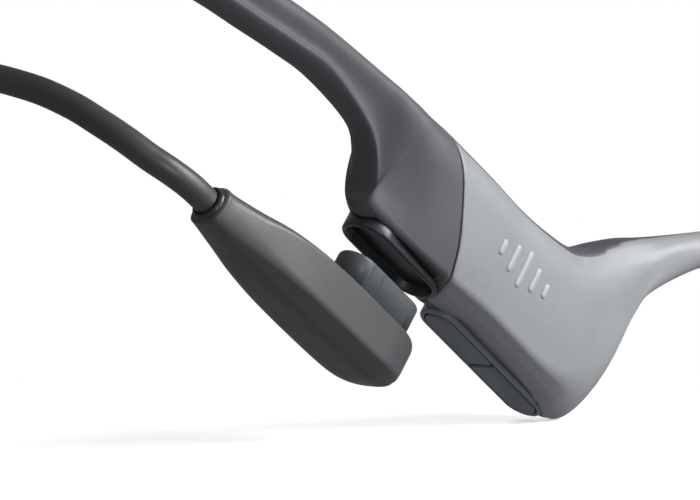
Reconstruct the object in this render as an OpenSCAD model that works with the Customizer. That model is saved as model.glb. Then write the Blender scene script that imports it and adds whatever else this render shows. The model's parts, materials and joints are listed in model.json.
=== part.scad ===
// Bone conduction headphones with a magnetic charging cable.
// +Z is up, the wearer faces -Y, +X is the wearer's left. z = 0 is the table the headset stands on.

/* [Rear housing] */
// Distance from the middle of the head to the middle of each rear housing
housing_x = 63; // [61:0.5:64]
// Half of the housing's thickness across the head
housing_half = 4.8; // [4.6:0.1:5]
// Angle of the housing's long axis below the horizontal
tilt = 37; // [36:0.5:38]
// Wall of the moulded shells
wall = 1.1; // [1:0.05:1.2]

/* [Ear hook and neckband] */
// Diameter of the soft ear hook
hook_d = 4.9; // [4.6:0.1:5.2]
// Diameter of the neckband sleeve
band_d = 3.9; // [3.6:0.1:4.1]
// Diameter of the sprung wire inside hooks and neckband
wire_d = 1.3; // [1.1:0.1:1.4]

/* [Transducer pod] */
// Length of the pod's face
pod_l = 26; // [25:0.5:27]
// Width of the pod's face
pod_w = 16; // [15.5:0.25:16.5]
// How far the pod's face turns in towards the cheek
toe = 10; // [8:1:12]
// How far the pod's long axis leans
pod_lean = 22; // [20:1:24]

/* [Charging port and plug] */
// Length of the oval port
port_l = 12.4; // [12:0.1:12.8]
// Width of the oval port
port_w = 5.6; // [5.4:0.1:5.8]
// Depth of the recess that the plug's boss enters
recess = 1; // [0.9:0.05:1.1]
// Air gap between the plug's boss and the port
dock_gap = 2.1; // [1.8:0.1:2.4]
// Radius of each contact pin
pin_r = 0.7; // [0.6:0.05:0.75]

/* [Volume keys] */
// Length of the raised bar that holds both keys
bar_l = 18.8; // [18.4:0.1:19]
// Width of the bar
bar_w = 4.5; // [4.4:0.1:4.6]

/* [Cable] */
// Diameter of the charging cable
cable_d = 2.5; // [2.4:0.05:2.6]
// Mean radius of the coil of spare cable
coil_r = 13.75; // [13.5:0.25:14]

/* [Hidden] */
$fn = 48;
gap = 0.05;          // assembly gap between pieces that are fixed together
roundness = 0.8;     // exponent of the sections: 1 is an ellipse, smaller is squarer

// Middle of the port's mouth, in the plane of the housing's long axis
port_y = -1.6;
port_z = 16.4;
// Faces of the housing, measured from the port's mouth across the long axis
face_d = -0.7;
top_d = -13.4;

// A point of the housing from its distance s along the long axis and d out of the port's side
function sd(s, d) = [
    port_y + s * cos(tilt) - d * sin(tilt),
    port_z - s * sin(tilt) - d * cos(tilt)
];

// A section: centre, half axis up the housing, half axis across it, and the hollow's share of it
function station(top, bottom, half, x, hollow = 0) = [
    [x, (top[0] + bottom[0]) / 2, (top[1] + bottom[1]) / 2],
    [0, (top[0] - bottom[0]) / 2, (top[1] - bottom[1]) / 2],
    [half, 0, 0],
    hollow
];

// Sections of the housing behind the seam, from the seam round the lobe to the neckband
shell_hollow = 0.78;
rear = [
    station(sd(-1.7, -13.2), sd(7.4, -0.3), housing_half, housing_x, shell_hollow),
    station(sd(3.8, top_d), sd(10.4, face_d), housing_half, housing_x, shell_hollow),
    station(sd(9.3, top_d), sd(14.4, face_d), housing_half, housing_x, shell_hollow),
    station([18, 19], sd(18.5, face_d), housing_half, housing_x, shell_hollow),
    station([21.5, 17.4], sd(23.3, face_d), 4.7, housing_x, shell_hollow),
    station([24.5, 17.1], [19.8, 0.7], 4.5, 63, shell_hollow),
    station([27.5, 17.5], [22.6, 0], 4, 63.1, 0.75),
    station([30.5, 17.8], [25.9, 2.3], 3.4, 63.4, 0.7),
    station([33.5, 17.8], [28.6, 7], 2.8, 63.8, 0.6),
    station([36.5, 17.9], [31.9, 11.2], 2.4, 64.3, 0.5)
];

// Sections of the flared front of the housing, from the ear hook to the seam
flare = [
    station(sd(-12.3, -12.8), sd(-12.7, -7.4), 2.9, housing_x, 0.36),
    station(sd(-10, -12.9), sd(-9.4, -6.2), 3.6, housing_x, 0.5),
    station(sd(-7.6, -13), sd(-7.4, -3.5), 4.2, housing_x, 0.66),
    station(sd(-5.3, -13), sd(-7.3, -0.8), 4.6, housing_x, 0.74),
    station(sd(-3.4, -13.1), sd(0.4, -0.3), housing_half, housing_x, shell_hollow),
    rear[0]
];

// Middle line of the ear hook, from the pod over the ear to the flare
hook_line = [
    [57, -58.4, 19], [57, -58.6, 24], [57.4, -57.9, 29], [58, -55.8, 34], [58.8, -52.4, 38.4],
    [59.7, -47.8, 42], [60.6, -42.3, 44.2], [61.4, -36.3, 45], [62, -30.3, 44.3],
    [62.5, -24.4, 42.4], [62.9, -18.6, 39.6], [63, -14.2, 37.5], [63, -10.4, 35.5]
];

// Middle line of the neckband, from the left housing to the middle of the back
band_line = [
    [65, 40.5, 16.2], [65.6, 45, 16.5], [65.2, 49.8, 16.6], [63.3, 54.6, 16.6], [59.8, 59, 16.6],
    [54.6, 62.8, 16.6], [47.6, 66.1, 16.6], [38.6, 68.8, 16.6], [27, 70.6, 16.6], [14, 71.4, 16.6],
    [0, 71.5, 16.6]
];

// Middle of the pod's parting plane
pod_c = [57, -60.5, 10.6];

// Key bar: middle along the housing, offset towards the head, and how proud it stands
bar_s = 18.1;
bar_x = -2;
bar_d = -0.3;
bar_deep = 1.6;
key_gap = 0.15;
key_rim = 0.5;

// Plug: the boss starts across the gap, the body behind it
boss_h = 3.7;
boss_l = port_l - 2;
boss_w = port_w - 1.4;
plug_d = dock_gap + boss_h;
plug_mid = plug_d + 2.9;
pin_s = 1.35;
pin_proud = 0.3;
tail_s = -21;
collar_h = 0.8;

// Cable: from the collar up and inwards, over, and down to the coil on the table
coil_c = [8, -46.5];
coil_half = cable_d;
coil_h = 3 * cable_d;
tail_yz = sd(tail_s - collar_h - gap, plug_mid);
cable_line = [
    [63, -25.9, 23.8], [62.5, -27.7, 25.1], [61.4, -29.3, 26.4], [60, -30.6, 27.8],
    [58.2, -31.8, 29.2], [55.2, -33.4, 31.1], [51.6, -35.6, 32.7], [47.8, -38.6, 33.6],
    [44.6, -42.2, 33], [42, -46, 30.6], [39.8, -49.6, 26.6], [37.6, -52.8, 21.4],
    [35.4, -55.5, 15.8], [32.8, -57.8, 10.6], [29.6, -59.7, 6.2], [25.8, -61, 3.1],
    [21.4, -61.7, 1.6], [16.8, -61.8, 1.25], [12.4, -61.6, 1.25], [8, -61.5, 1.25]
];
usb_x = -10;
lead_line = [
    [8, -59, 6.25], [5, -59.1, 6.25], [2, -59.5, 6.1], [-1, -60.2, 5.5], [-4, -61, 4.7],
    [-7, -61.4, 4.1], [usb_x, -61.5, 4]
];
usb_w = 15.5;
usb_h = 8;
usb_l = 19;

// ---- Swept shapes -------------------------------------------------------------------------

function unit(v) = v / norm(v);
function power(v) = sign(v) * pow(abs(v), roundness);

// A loop of n points round a section, with its axes scaled
function loop(s, n, share = 1, soft = true) = [
    for (i = [0:n - 1])
        let (a = 360 * i / n, u = soft ? power(cos(a)) : cos(a), v = soft ? power(sin(a)) : sin(a))
        s[0] + share * (u * s[1] + v * s[2])
];

// Round sections along a line of points, with their second axis kept level with side
function along(line, r, side) = [
    for (i = [0:len(line) - 1])
        let (
            t = unit(line[min(i + 1, len(line) - 1)] - line[max(i - 1, 0)]),
            up = unit(cross(side, t)),
            across = cross(t, up)
        )
        [line[i], r * up, r * across, 0]
];

// Side faces between ring k and ring k + 1 of m rings with n points each, from point number start
function skin(m, n, start, flip) = [
    for (k = [0:m - 2], i = [0:n - 1])
        let (
            a = start + k * n + i,
            b = start + k * n + (i + 1) % n,
            quad = [a, b, b + n, a + n]
        )
        flip ? [quad[3], quad[2], quad[1], quad[0]] : quad
];

// Flat ring between two loops of n points that start at a and b
function rim(a, b, n, flip) = [
    for (i = [0:n - 1])
        let (j = (i + 1) % n, quad = [a + i, a + j, b + j, b + i])
        flip ? [quad[3], quad[2], quad[1], quad[0]] : quad
];

function cap(start, n, flip) = [for (i = [0:n - 1]) start + (flip ? n - 1 - i : i)];
function flat(lists) = [for (l = lists) for (p = l) p];

// A closed solid through a list of loops
module loft(loops) {
    n = len(loops[0]);
    m = len(loops);
    polyhedron(flat(loops), concat(
        skin(m, n, 0, true), [cap(0, n, false)], [cap((m - 1) * n, n, true)]
    ));
}

// A tube: outer loops with inner loops inside them, open at both ends
module sleeve(outer, inner) {
    n = len(outer[0]);
    m = len(outer);
    in0 = m * n;
    polyhedron(concat(flat(outer), flat(inner)), concat(
        skin(m, n, 0, true), skin(m, n, in0, false),
        rim(0, in0, n, false), rim((m - 1) * n, in0 + (m - 1) * n, n, true)
    ));
}

// A cup: outer loops from the mouth to the closed end, and inner loops from the mouth inwards
module cup(outer, inner) {
    n = len(outer[0]);
    m = len(outer);
    k = len(inner);
    in0 = m * n;
    polyhedron(concat(flat(outer), flat(inner)), concat(
        skin(m, n, 0, true), skin(k, n, in0, false), rim(0, in0, n, false),
        [cap((m - 1) * n, n, true)], [cap(in0 + (k - 1) * n, n, false)]
    ));
}

// Half of the rear housing as a shell: dir = 1 is the outer face, -1 the side next to the head
half_n = 14;
// The hollow takes a larger share of a section's height than of its width
taller = 0.06;
tallest = 0.84;
function half_arc(s, dir, share_a, share_b) = [
    for (i = [0:half_n])
        let (a = 180 * i / half_n)
        s[0] + share_a * power(cos(a)) * s[1] + dir * share_b * power(sin(a)) * s[2]
];
function reversed(l) = [for (i = [len(l) - 1:-1:0]) l[i]];
module half_shell(sections, dir) {
    loops = [
        for (s = sections)
            concat(
                half_arc(s, dir, 1, 1),
                reversed(half_arc(s, dir, min(s[3] + taller, tallest), s[3]))
            )
    ];
    n = 2 * (half_n + 1);
    last = (len(sections) - 1) * n;
    flip = dir < 0;
    strip = [for (i = [0:half_n - 1]) [i, i + 1, n - 2 - i, n - 1 - i]];
    ends = concat(
        [for (q = strip) flip ? [q[0], q[3], q[2], q[1]] : q],
        [for (q = strip) flip ? [for (i = q) last + i]
            : [last + q[0], last + q[3], last + q[2], last + q[1]]]
    );
    polyhedron(flat(loops), concat(skin(len(sections), n, 0, !flip), ends));
}

// ---- Placing ------------------------------------------------------------------------------

// Local frame of the port: x along the housing, y towards the outer face, z out of the port
module at_port() {
    translate([housing_x, port_y, port_z]) rotate([-tilt, 0, 0]) rotate([180, 0, 90]) children();
}

// Local frame of a pod: x along it, rear end up, z outwards from the head
module at_pod() {
    translate(pod_c) rotate([0, 0, -toe]) rotate([90, 0, 90]) rotate([0, 0, pod_lean]) children();
}

module stadium(l, w, h) {
    linear_extrude(h) {
        square([l - w, w], center = true);
        for (x = [-1, 1]) translate([x * (l - w) / 2, 0]) circle(w / 2);
    }
}

module block(size, at) {
    translate(at) translate([-size[0] / 2, -size[1] / 2, 0]) cube(size);
}

// ---- Rear housings and ear hooks ----------------------------------------------------------

hook_n = 16;
hook_sections = along(hook_line, hook_d / 2, [1, 0, 0]);
hook_bore = wire_d / 2 + gap;

module hook_cover() {
    outer = concat(
        [for (s = hook_sections) loop(s, hook_n, 1, false)],
        [for (s = flare) loop(s, hook_n)]
    );
    inner = concat(
        [for (s = hook_sections) loop(s, hook_n, hook_bore / (hook_d / 2), false)],
        [for (s = flare) loop(s, hook_n, s[3])]
    );
    sleeve(outer, inner);
}

module hook_wire() {
    line = concat(hook_line, [flare[0][0], flare[1][0]]);
    loft([for (s = along(line, wire_d / 2, [1, 0, 0])) loop(s, hook_n, 1, false)]);
}

// Openings for the port and the key bar: how deep each starts, and how far it runs outwards
port_cut = 3.2;
bar_cut = 3.4;
cut_h = 6;
module port_hole() {
    at_port() translate([0, 0, -port_cut]) stadium(port_l + 2 * gap, port_w + 2 * gap, cut_h);
}

module bar_hole() {
    at_port() translate([bar_s, bar_x, bar_d - bar_cut])
        stadium(bar_l + 2 * gap, bar_w + 2 * gap, cut_h);
}

module left_hook_cover() {
    color("dimgray") difference() {
        hook_cover();
        port_hole();
    }
}

module left_outer_cover() {
    color("darkgray") difference() {
        half_shell(rear, 1);
        bar_hole();
    }
}

module left_inner_shell() {
    color("gray") difference() {
        half_shell(rear, -1);
        bar_hole();
    }
}

module right_hook_cover() { color("dimgray") mirror([1, 0, 0]) hook_cover(); }
module right_outer_cover() { color("darkgray") mirror([1, 0, 0]) half_shell(rear, 1); }
module right_inner_shell() { color("gray") mirror([1, 0, 0]) half_shell(rear, -1); }
module left_hook_wire() { color("silver") hook_wire(); }
module right_hook_wire() { color("silver") mirror([1, 0, 0]) hook_wire(); }

// ---- Neckband -----------------------------------------------------------------------------

band_half = along(band_line, band_d / 2, [0, 0, 1]);
band_n = 16;
// Where the neckband's wire ends inside the housing
band_wire_end = [63.7, 31.8, 13];

module neckband_sleeve() {
    start = rear[len(rear) - 1];
    half = concat(
        [loop(start, band_n)],
        [for (s = band_half) loop([s[0], s[2], -s[1], 0], band_n, 1, false)]
    );
    bore = concat(
        [loop([start[0], unit(start[1]), unit(start[2]), 0], band_n, 2 * hook_bore, false)],
        [for (s = band_half) loop([s[0], s[2], -s[1], 0], band_n, hook_bore / (band_d / 2), false)]
    );
    count = len(half) - 1;
    color("gray") sleeve(
        concat(half, [for (i = [count - 1:-1:0]) [for (p = half[i]) [-p[0], p[1], p[2]]]]),
        concat(bore, [for (i = [count - 1:-1:0]) [for (p = bore[i]) [-p[0], p[1], p[2]]]])
    );
}

module neckband_wire() {
    half = concat([band_wire_end, rear[len(rear) - 1][0]], band_line);
    line = concat(half, [for (i = [len(half) - 2:-1:0]) [-half[i][0], half[i][1], half[i][2]]]);
    color("silver") loft([
        for (s = along(line, wire_d / 2, [0, 0, 1])) loop(s, band_n, 1, false)
    ]);
}

// ---- Transducer pods ----------------------------------------------------------------------

pod_n = 32;
function pod_loop(share, z, shrink = 0) = loop(
    [[0, 0, z], [share * pod_l / 2 - shrink, 0, 0], [0, share * pod_w / 2 - shrink, 0], 0], pod_n
);

// Profiles as [share of the face, height from the parting plane], from the mouth outwards
cover_out = [[1, 0], [1, 2.6], [0.95, 3.9], [0.83, 4.7], [0.6, 5]];
cover_in = [[1, 0], [1, 2.6], [0.9, 3.8]];
frame_out = [[1, 0], [1, 2.6], [0.95, 3.3], [0.86, 3.6]];
frame_in = [[1, 0], [1, 2.4]];
pad_out = [[0.82, 3.6], [0.84, 4.2], [0.82, 4.9], [0.76, 5.3], [0.68, 5.5]];

function pod_loops(profile, shrink = 0) = [for (p = profile) pod_loop(p[0], -p[1], shrink)];

// Outer half, domed; its mouth is the parting plane
module pod_cover() {
    mirror([0, 0, 1]) cup(pod_loops(cover_out), pod_loops(cover_in, wall));
}

module pod_frame() { cup(pod_loops(frame_out), pod_loops(frame_in, wall)); }
module skin_pad() { loft(pod_loops(pad_out)); }

// Voice coil, fixed to the frame and standing in the magnet unit's ring gap
voice_ri = 3.9;
voice_ro = 4.5;
voice_h = 2.4;
voice_z = -2.35;
module voice_coil() {
    translate([0, 0, voice_z]) rotate_extrude() translate([voice_ri, 0])
        square([voice_ro - voice_ri, voice_h]);
}

// Yoke cup open towards the skin, with the magnet on its floor
yoke_r = 5.6;
yoke_ri = 4.9;
yoke_h = 3.6;
yoke_z = -2;
yoke_floor = 0.8;
magnet_r = 3.4;
magnet_h = 2.9;
module magnet_unit() {
    translate([0, 0, yoke_z]) {
        difference() {
            cylinder(r = yoke_r, h = yoke_h);
            translate([0, 0, -1]) cylinder(r = yoke_ri, h = yoke_h - yoke_floor + 1);
        }
        cylinder(r = magnet_r, h = magnet_h);
    }
}

// Leaf spring on the back of the yoke, slotted near both ends
leaf = [17, 9.6];
leaf_t = 0.2;
leaf_slot = [1.2, 6];
leaf_slot_x = 6.6;
module leaf_spring() {
    translate([0, 0, yoke_z + yoke_h]) linear_extrude(leaf_t) difference() {
        square(leaf, center = true);
        for (x = [-1, 1]) translate([x * leaf_slot_x, 0]) square(leaf_slot, center = true);
    }
}

// Microphone opening in the left pod's cover
mic_at = [-8.6, -3.4];
mic_r = 0.9;
mesh_z = 4.1;
mesh_t = 0.35;
capsule = [2.6, 1.9, 0.9];
capsule_at = [-8.6, -3.1, 0.3];
// Round key in the middle of the right pod's cover: its flange stays inside
mf_r = 3.1;
mf_z = 3.1;
mf_h = 2.15;
mf_play = 0.1;
flange = 0.7;
flange_t = 0.4;
mf_switch = [3, 3, 0.3];
mf_switch_z = 2.35;
hole_h = 8;

module mic_hole() {
    at_pod() translate([mic_at[0], mic_at[1], 0]) cylinder(r = mic_r + gap, h = hole_h);
}

module key_hole() { at_pod() cylinder(r = mf_r + mf_play, h = hole_h); }

module left_pod_cover() {
    color("dimgray") difference() {
        at_pod() pod_cover();
        mic_hole();
    }
}

module right_pod_cover() {
    color("dimgray") mirror([1, 0, 0]) difference() {
        at_pod() pod_cover();
        key_hole();
    }
}

module left_pod_frame() { color("gray") at_pod() pod_frame(); }
module right_pod_frame() { color("gray") mirror([1, 0, 0]) at_pod() pod_frame(); }
module left_skin_pad() { color("dimgray") at_pod() skin_pad(); }
module right_skin_pad() { color("dimgray") mirror([1, 0, 0]) at_pod() skin_pad(); }
module left_voice_coil() { color("chocolate") at_pod() voice_coil(); }
module right_voice_coil() { color("chocolate") mirror([1, 0, 0]) at_pod() voice_coil(); }
module left_magnet_unit() { color("silver") at_pod() magnet_unit(); }
module right_magnet_unit() { color("silver") mirror([1, 0, 0]) at_pod() magnet_unit(); }
module left_leaf_spring() { color("gold") at_pod() leaf_spring(); }
module right_leaf_spring() { color("gold") mirror([1, 0, 0]) at_pod() leaf_spring(); }

module microphone_mesh() {
    color("black") at_pod() translate([mic_at[0], mic_at[1], mesh_z]) cylinder(r = mic_r, h = mesh_t);
}

module microphone_capsule() { color("gold") at_pod() block(capsule, capsule_at); }

module multifunction_button() {
    color("gray") mirror([1, 0, 0]) at_pod() translate([0, 0, mf_z]) {
        cylinder(r = mf_r, h = mf_h);
        cylinder(r = mf_r + flange, h = flange_t);
    }
}

module multifunction_switch() {
    color("silver") mirror([1, 0, 0]) at_pod() block(mf_switch, [0, 0, mf_switch_z]);
}

// ---- Electronics and keys -----------------------------------------------------------------

board = [15, 1, 6.5];
board_at = [14.5, 0.6, -11];
cell = [17, 4.4, 7.6];
cell_at = [12.5, 0, -11.2];
module main_board() { color("green") at_port() block(board, board_at); }
module battery_cell() { color("silver") mirror([1, 0, 0]) at_port() block(cell, cell_at); }

// Port insert: how deep it goes, and the room round the plug's boss
bezel_h = 3;
boss_room = 0.3;
// How far the contacts stand out behind the insert
contact_back = 0.3;
magnet = [2.2, 3.6, 1.3];
magnet_s = 3.6;
magnet_d = -4.4;

module charging_port_bezel() {
    color("black") at_port() difference() {
        translate([0, 0, -bezel_h]) stadium(port_l, port_w, bezel_h);
        translate([0, 0, -recess]) stadium(boss_l + 2 * boss_room, boss_w + 2 * boss_room, recess + 1);
        for (s = [-1, 1]) translate([s * pin_s, 0, -bezel_h - 1])
            cylinder(r = pin_r + gap, h = bezel_h + 2);
    }
}

module charging_contacts() {
    deep = bezel_h + contact_back;
    color("gold") at_port()
        for (s = [-1, 1]) translate([s * pin_s, 0, -deep]) cylinder(r = pin_r, h = deep - recess);
}

module port_magnets() {
    color("silver") at_port() for (s = [-1, 1]) block(magnet, [s * magnet_s, 0, magnet_d]);
}

// Key bar: floor of the tray, openings for the key stems, and the keys on it
tray_floor = 0.4;
stem_hole = [1.9, 1.9, 3];
stem = [1.4, 1.4, 1.25];
stem_z = -1.2;
key_h = 0.85;
key_z = -0.75;
key_s = bar_l / 4;
switch = [3, 2.4, 0.9];
switch_z = -3.25;

module button_frame() {
    color("dimgray") at_port() translate([bar_s, bar_x, bar_d - bar_deep]) difference() {
        stadium(bar_l, bar_w, bar_deep);
        translate([0, 0, tray_floor]) stadium(bar_l - 2 * key_rim, bar_w - 2 * key_rim, bar_deep);
        for (s = [-1, 1]) block(stem_hole, [s * key_s, 0, -1]);
    }
}

// One key: half of the bar, round at its outer end, with the stem that meets its switch
module key(end) {
    l = bar_l - 2 * (key_rim + key_gap);
    w = bar_w - 2 * (key_rim + key_gap);
    at_port() translate([bar_s, bar_x, bar_d + key_z]) {
        intersection() {
            stadium(l, w, key_h);
            translate([end < 0 ? -l : key_gap, -w, -key_h]) cube([l - key_gap, 2 * w, 3 * key_h]);
        }
        block(stem, [end * key_s, 0, stem_z]);
    }
}

module volume_up_button() { color("slategray") key(1); }
module volume_down_button() { color("slategray") key(-1); }

module button_switches() {
    color("silver") at_port()
        for (s = [-1, 1]) block(switch, [bar_s + s * key_s, bar_x, bar_d + switch_z]);
}

// Shines through the thin wall beside the key bar
light_at = [12, 1.8, -4.1];
light_r = 0.8;
light_h = 1.2;
module status_light() { color("white") at_port() translate(light_at) cylinder(r = light_r, h = light_h); }

// ---- Charging cable -----------------------------------------------------------------------

plug_n = 24;
// Sections of the plug: distance along it, half width across, half depth
plug_ends = [
    [tail_s, 1.9, 1.9], [-18.5, 2.4, 2.2], [-15, 3.3, 2.7], [-10, 4, 2.88], [-4, 4.2, 2.9],
    [1.5, 4.2, 2.9], [3.6, 3.8, 2.75], [5, 3, 2.4], [5.9, 2, 1.9], [6.3, 1, 1.2]
];
plug_hollow = [11.2, 5, 3];
boss_root = 1.2;
boss_pocket = 3;
pin_h = 3.4;
pin_play = 0.08;
plug_magnet = [2.2, 3.6, 2];
plug_magnet_z = -1.45;
collar_r = 1.7;
collar_play = 0.15;

module plug_shell() {
    color("dimgray") at_port() difference() {
        loft([
            for (e = plug_ends) loop([[e[0], 0, plug_mid], [0, 0, e[2]], [0, e[1], 0], 0], plug_n)
        ]);
        block(plug_hollow, [0, 0, plug_mid - plug_hollow[2] / 2]);
        translate([0, 0, plug_d - 1]) stadium(boss_l + 2 * gap, boss_w + 2 * gap, boss_pocket);
    }
}

module plug_boss() {
    color("gray") at_port() translate([0, 0, dock_gap]) difference() {
        stadium(boss_l, boss_w, boss_h + boss_root);
        for (s = [-1, 1]) translate([s * pin_s, 0, -1]) cylinder(r = pin_r + pin_play, h = hole_h);
    }
}

module pin(side) {
    color("gold") at_port() translate([side * pin_s, 0, dock_gap - pin_proud])
        cylinder(r = pin_r, h = pin_h);
}
module plug_pin_a() { pin(-1); }
module plug_pin_b() { pin(1); }

module plug_magnets() {
    color("silver") at_port()
        for (s = [-1, 1]) block(plug_magnet, [s * magnet_s, 0, plug_mid + plug_magnet_z]);
}

module plug_collar() {
    color("black") at_port() translate([tail_s - collar_h, 0, plug_mid]) rotate([0, 90, 0])
        cylinder(r1 = cable_d / 2 + collar_play, r2 = collar_r, h = collar_h);
}

// A direction that no part of the cable runs along, so that its sections never flip
tube_side = [0.3, -0.4, 1];
tube_n = 8;
module tube(line) {
    color("dimgray") loft([for (s = along(line, cable_d / 2, tube_side)) loop(s, tube_n, 1, false)]);
}

module cable_run() { tube(concat([[housing_x, tail_yz[0], tail_yz[1]]], cable_line)); }
module cable_end() { tube(lead_line); }

module cable_coil() {
    color("dimgray") translate([coil_c[0], coil_c[1], 0])
        rotate_extrude() translate([coil_r - coil_half, 0]) square([2 * coil_half, coil_h]);
}

// Hook-and-loop tie closed round the coil at the side nearest the headset
tie_t = 0.7;
tie_w = 4;
tie_slack = 0.3;
tie_lift = 0.1;
module cable_tie() {
    inner = 2 * (coil_half + tie_slack);
    outer = inner + 2 * tie_t;
    color("black") translate([coil_c[0], coil_c[1] + coil_r, 0]) rotate([90, 0, 90])
        translate([0, 0, -tie_w / 2]) linear_extrude(tie_w) difference() {
            translate([-outer / 2, 0]) square([outer, coil_h + tie_t + tie_lift]);
            translate([-inner / 2, -tie_t]) square([inner, coil_h + tie_t + tie_lift]);
        }
}

// USB plug: every box is [length, width, height], and starts at x
usb_y = -61.5;
boot_l = 5;
boot_r = 3;
boot_tip = 1.9;
shell_box = [16, 12, 4.5];
shell_out = 12;
shell_room = [17, 11.4, 3.9];
shell_seat = [5, 12.1, 4.6];
tongue = [14, 11, 1.8];
tongue_rise = 0.9;
tongue_out = 11;
contact = [9, 1.1, 0.2];
contact_pitch = 2.4;
contact_drop = 0.12;
contact_out = 10.5;
module usb_box(size, x) {
    translate([x, usb_y - size[1] / 2, usb_h / 2 - size[2] / 2]) cube(size);
}

module usb_overmould() {
    color("dimgray") difference() {
        union() {
            usb_box([usb_l - boot_l, usb_w, usb_h], usb_x - usb_l);
            translate([usb_x - boot_l, usb_y, usb_h / 2]) rotate([0, 90, 0])
                cylinder(r1 = boot_r, r2 = boot_tip, h = boot_l);
        }
        usb_box(shell_seat, usb_x - usb_l - 1);
    }
}

module usb_shell() {
    color("silver") difference() {
        usb_box(shell_box, usb_x - usb_l - shell_out);
        usb_box(shell_room, usb_x - usb_l - shell_out - 1);
    }
}

module usb_tongue() {
    color("white") translate([0, 0, tongue_rise]) usb_box(tongue, usb_x - usb_l - tongue_out);
}

module usb_contacts() {
    color("gold") for (i = [-1.5:1:1.5]) translate([0, i * contact_pitch, -contact_drop])
        usb_box(contact, usb_x - usb_l - contact_out);
}

left_hook_cover();
left_hook_wire();
left_outer_cover();
left_inner_shell();
left_pod_cover();
left_pod_frame();
left_skin_pad();
left_voice_coil();
left_magnet_unit();
left_leaf_spring();
right_hook_cover();
right_hook_wire();
right_outer_cover();
right_inner_shell();
right_pod_cover();
right_pod_frame();
right_skin_pad();
right_voice_coil();
right_magnet_unit();
right_leaf_spring();
neckband_sleeve();
neckband_wire();
main_board();
battery_cell();
charging_port_bezel();
charging_contacts();
port_magnets();
button_frame();
volume_up_button();
volume_down_button();
button_switches();
status_light();
multifunction_button();
multifunction_switch();
microphone_mesh();
microphone_capsule();
plug_shell();
plug_boss();
plug_pin_a();
plug_pin_b();
plug_magnets();
plug_collar();
cable_run();
cable_coil();
cable_end();
cable_tie();
usb_overmould();
usb_shell();
usb_tongue();
usb_contacts();
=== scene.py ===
"""Bone conduction headphones: smooth shells, marks, cable, materials, light and camera."""
import json
import math

import bpy
import bmesh
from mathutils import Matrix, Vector
from mathutils.bvhtree import BVHTree

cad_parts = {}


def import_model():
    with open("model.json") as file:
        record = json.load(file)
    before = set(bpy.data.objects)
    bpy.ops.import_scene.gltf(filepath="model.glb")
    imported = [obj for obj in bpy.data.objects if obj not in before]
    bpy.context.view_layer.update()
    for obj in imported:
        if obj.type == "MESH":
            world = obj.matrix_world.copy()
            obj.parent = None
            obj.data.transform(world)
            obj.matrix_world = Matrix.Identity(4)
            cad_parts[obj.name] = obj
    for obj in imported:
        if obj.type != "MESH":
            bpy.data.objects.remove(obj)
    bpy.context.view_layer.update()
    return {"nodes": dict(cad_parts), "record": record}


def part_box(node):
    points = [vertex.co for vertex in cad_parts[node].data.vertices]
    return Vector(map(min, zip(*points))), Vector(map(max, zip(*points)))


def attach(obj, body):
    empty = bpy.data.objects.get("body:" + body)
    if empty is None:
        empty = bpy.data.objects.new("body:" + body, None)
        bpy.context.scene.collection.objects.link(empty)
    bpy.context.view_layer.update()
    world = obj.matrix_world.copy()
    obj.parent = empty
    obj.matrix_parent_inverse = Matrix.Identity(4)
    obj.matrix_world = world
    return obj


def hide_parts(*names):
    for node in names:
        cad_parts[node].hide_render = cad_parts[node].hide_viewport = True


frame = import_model()
nodes = frame["nodes"]
mounts = {m["name"]: m for m in frame["record"]["mounts"]}

MM = 0.001
X_AXIS = Vector((1, 0, 0))
Z_AXIS = Vector((0, 0, 1))
# The wearer's left and right
SIDES = (1, -1)

# ---- Places, in millimetres ----

PORT = Vector(mounts["charging_port"]["pos_m"]) / MM
OUT = Vector(mounts["charging_port"]["axis"]).normalized()
ALONG = Vector((0, -OUT.z, OUT.y)).normalized()
HOUSING_X = PORT.x


def at_port(s, x, d):
    """A point s along the housing, x outwards from its middle plane and d out of the port."""
    return PORT + s * ALONG + x * X_AXIS + d * OUT


def node_span(node):
    """Lowest and highest s, x and d of a CAD node in the frame of the port."""
    points = [v.co / MM - PORT for v in nodes[node].data.vertices]
    rows = [(p.dot(ALONG), p.dot(X_AXIS), p.dot(OUT)) for p in points]
    return Vector(map(min, zip(*rows))), Vector(map(max, zip(*rows)))


def node_box(node):
    """Lowest corner, highest corner and middle of a CAD node."""
    low, high = (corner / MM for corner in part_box(node))
    return low, high, (low + high) / 2


def prefix(side):
    return "left_" if side > 0 else "right_"


def mirrored(points):
    return [Vector((-p.x, p.y, p.z)) for p in points]


def sided(shape, side):
    """Points and faces made for the left side, on the given side."""
    points, faces = shape
    return (points if side > 0 else mirrored(points)), faces


# ---- Materials ----

# Pointiness of a convex edge at which its lighter colour starts, and at which it is complete; the lighter
# edge is partly worn plastic and partly a painted highlight
EDGE_WEAR_AND_HIGHLIGHT = (0.53, 0.62)


def linear(value):
    """Linear light of one sRGB channel, from 0 to 255."""
    share = value / 255
    return share / 12.92 if share <= 0.04045 else ((share + 0.055) / 1.055) ** 2.4


def srgb(red, green, blue):
    return (linear(red), linear(green), linear(blue), 1)


def scaled(colour, share):
    return tuple(c * share for c in colour[:3]) + (1,)


def fill(node, values):
    """Sets a node's inputs from their names."""
    for key, value in values.items():
        node.inputs[key].default_value = value


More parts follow.
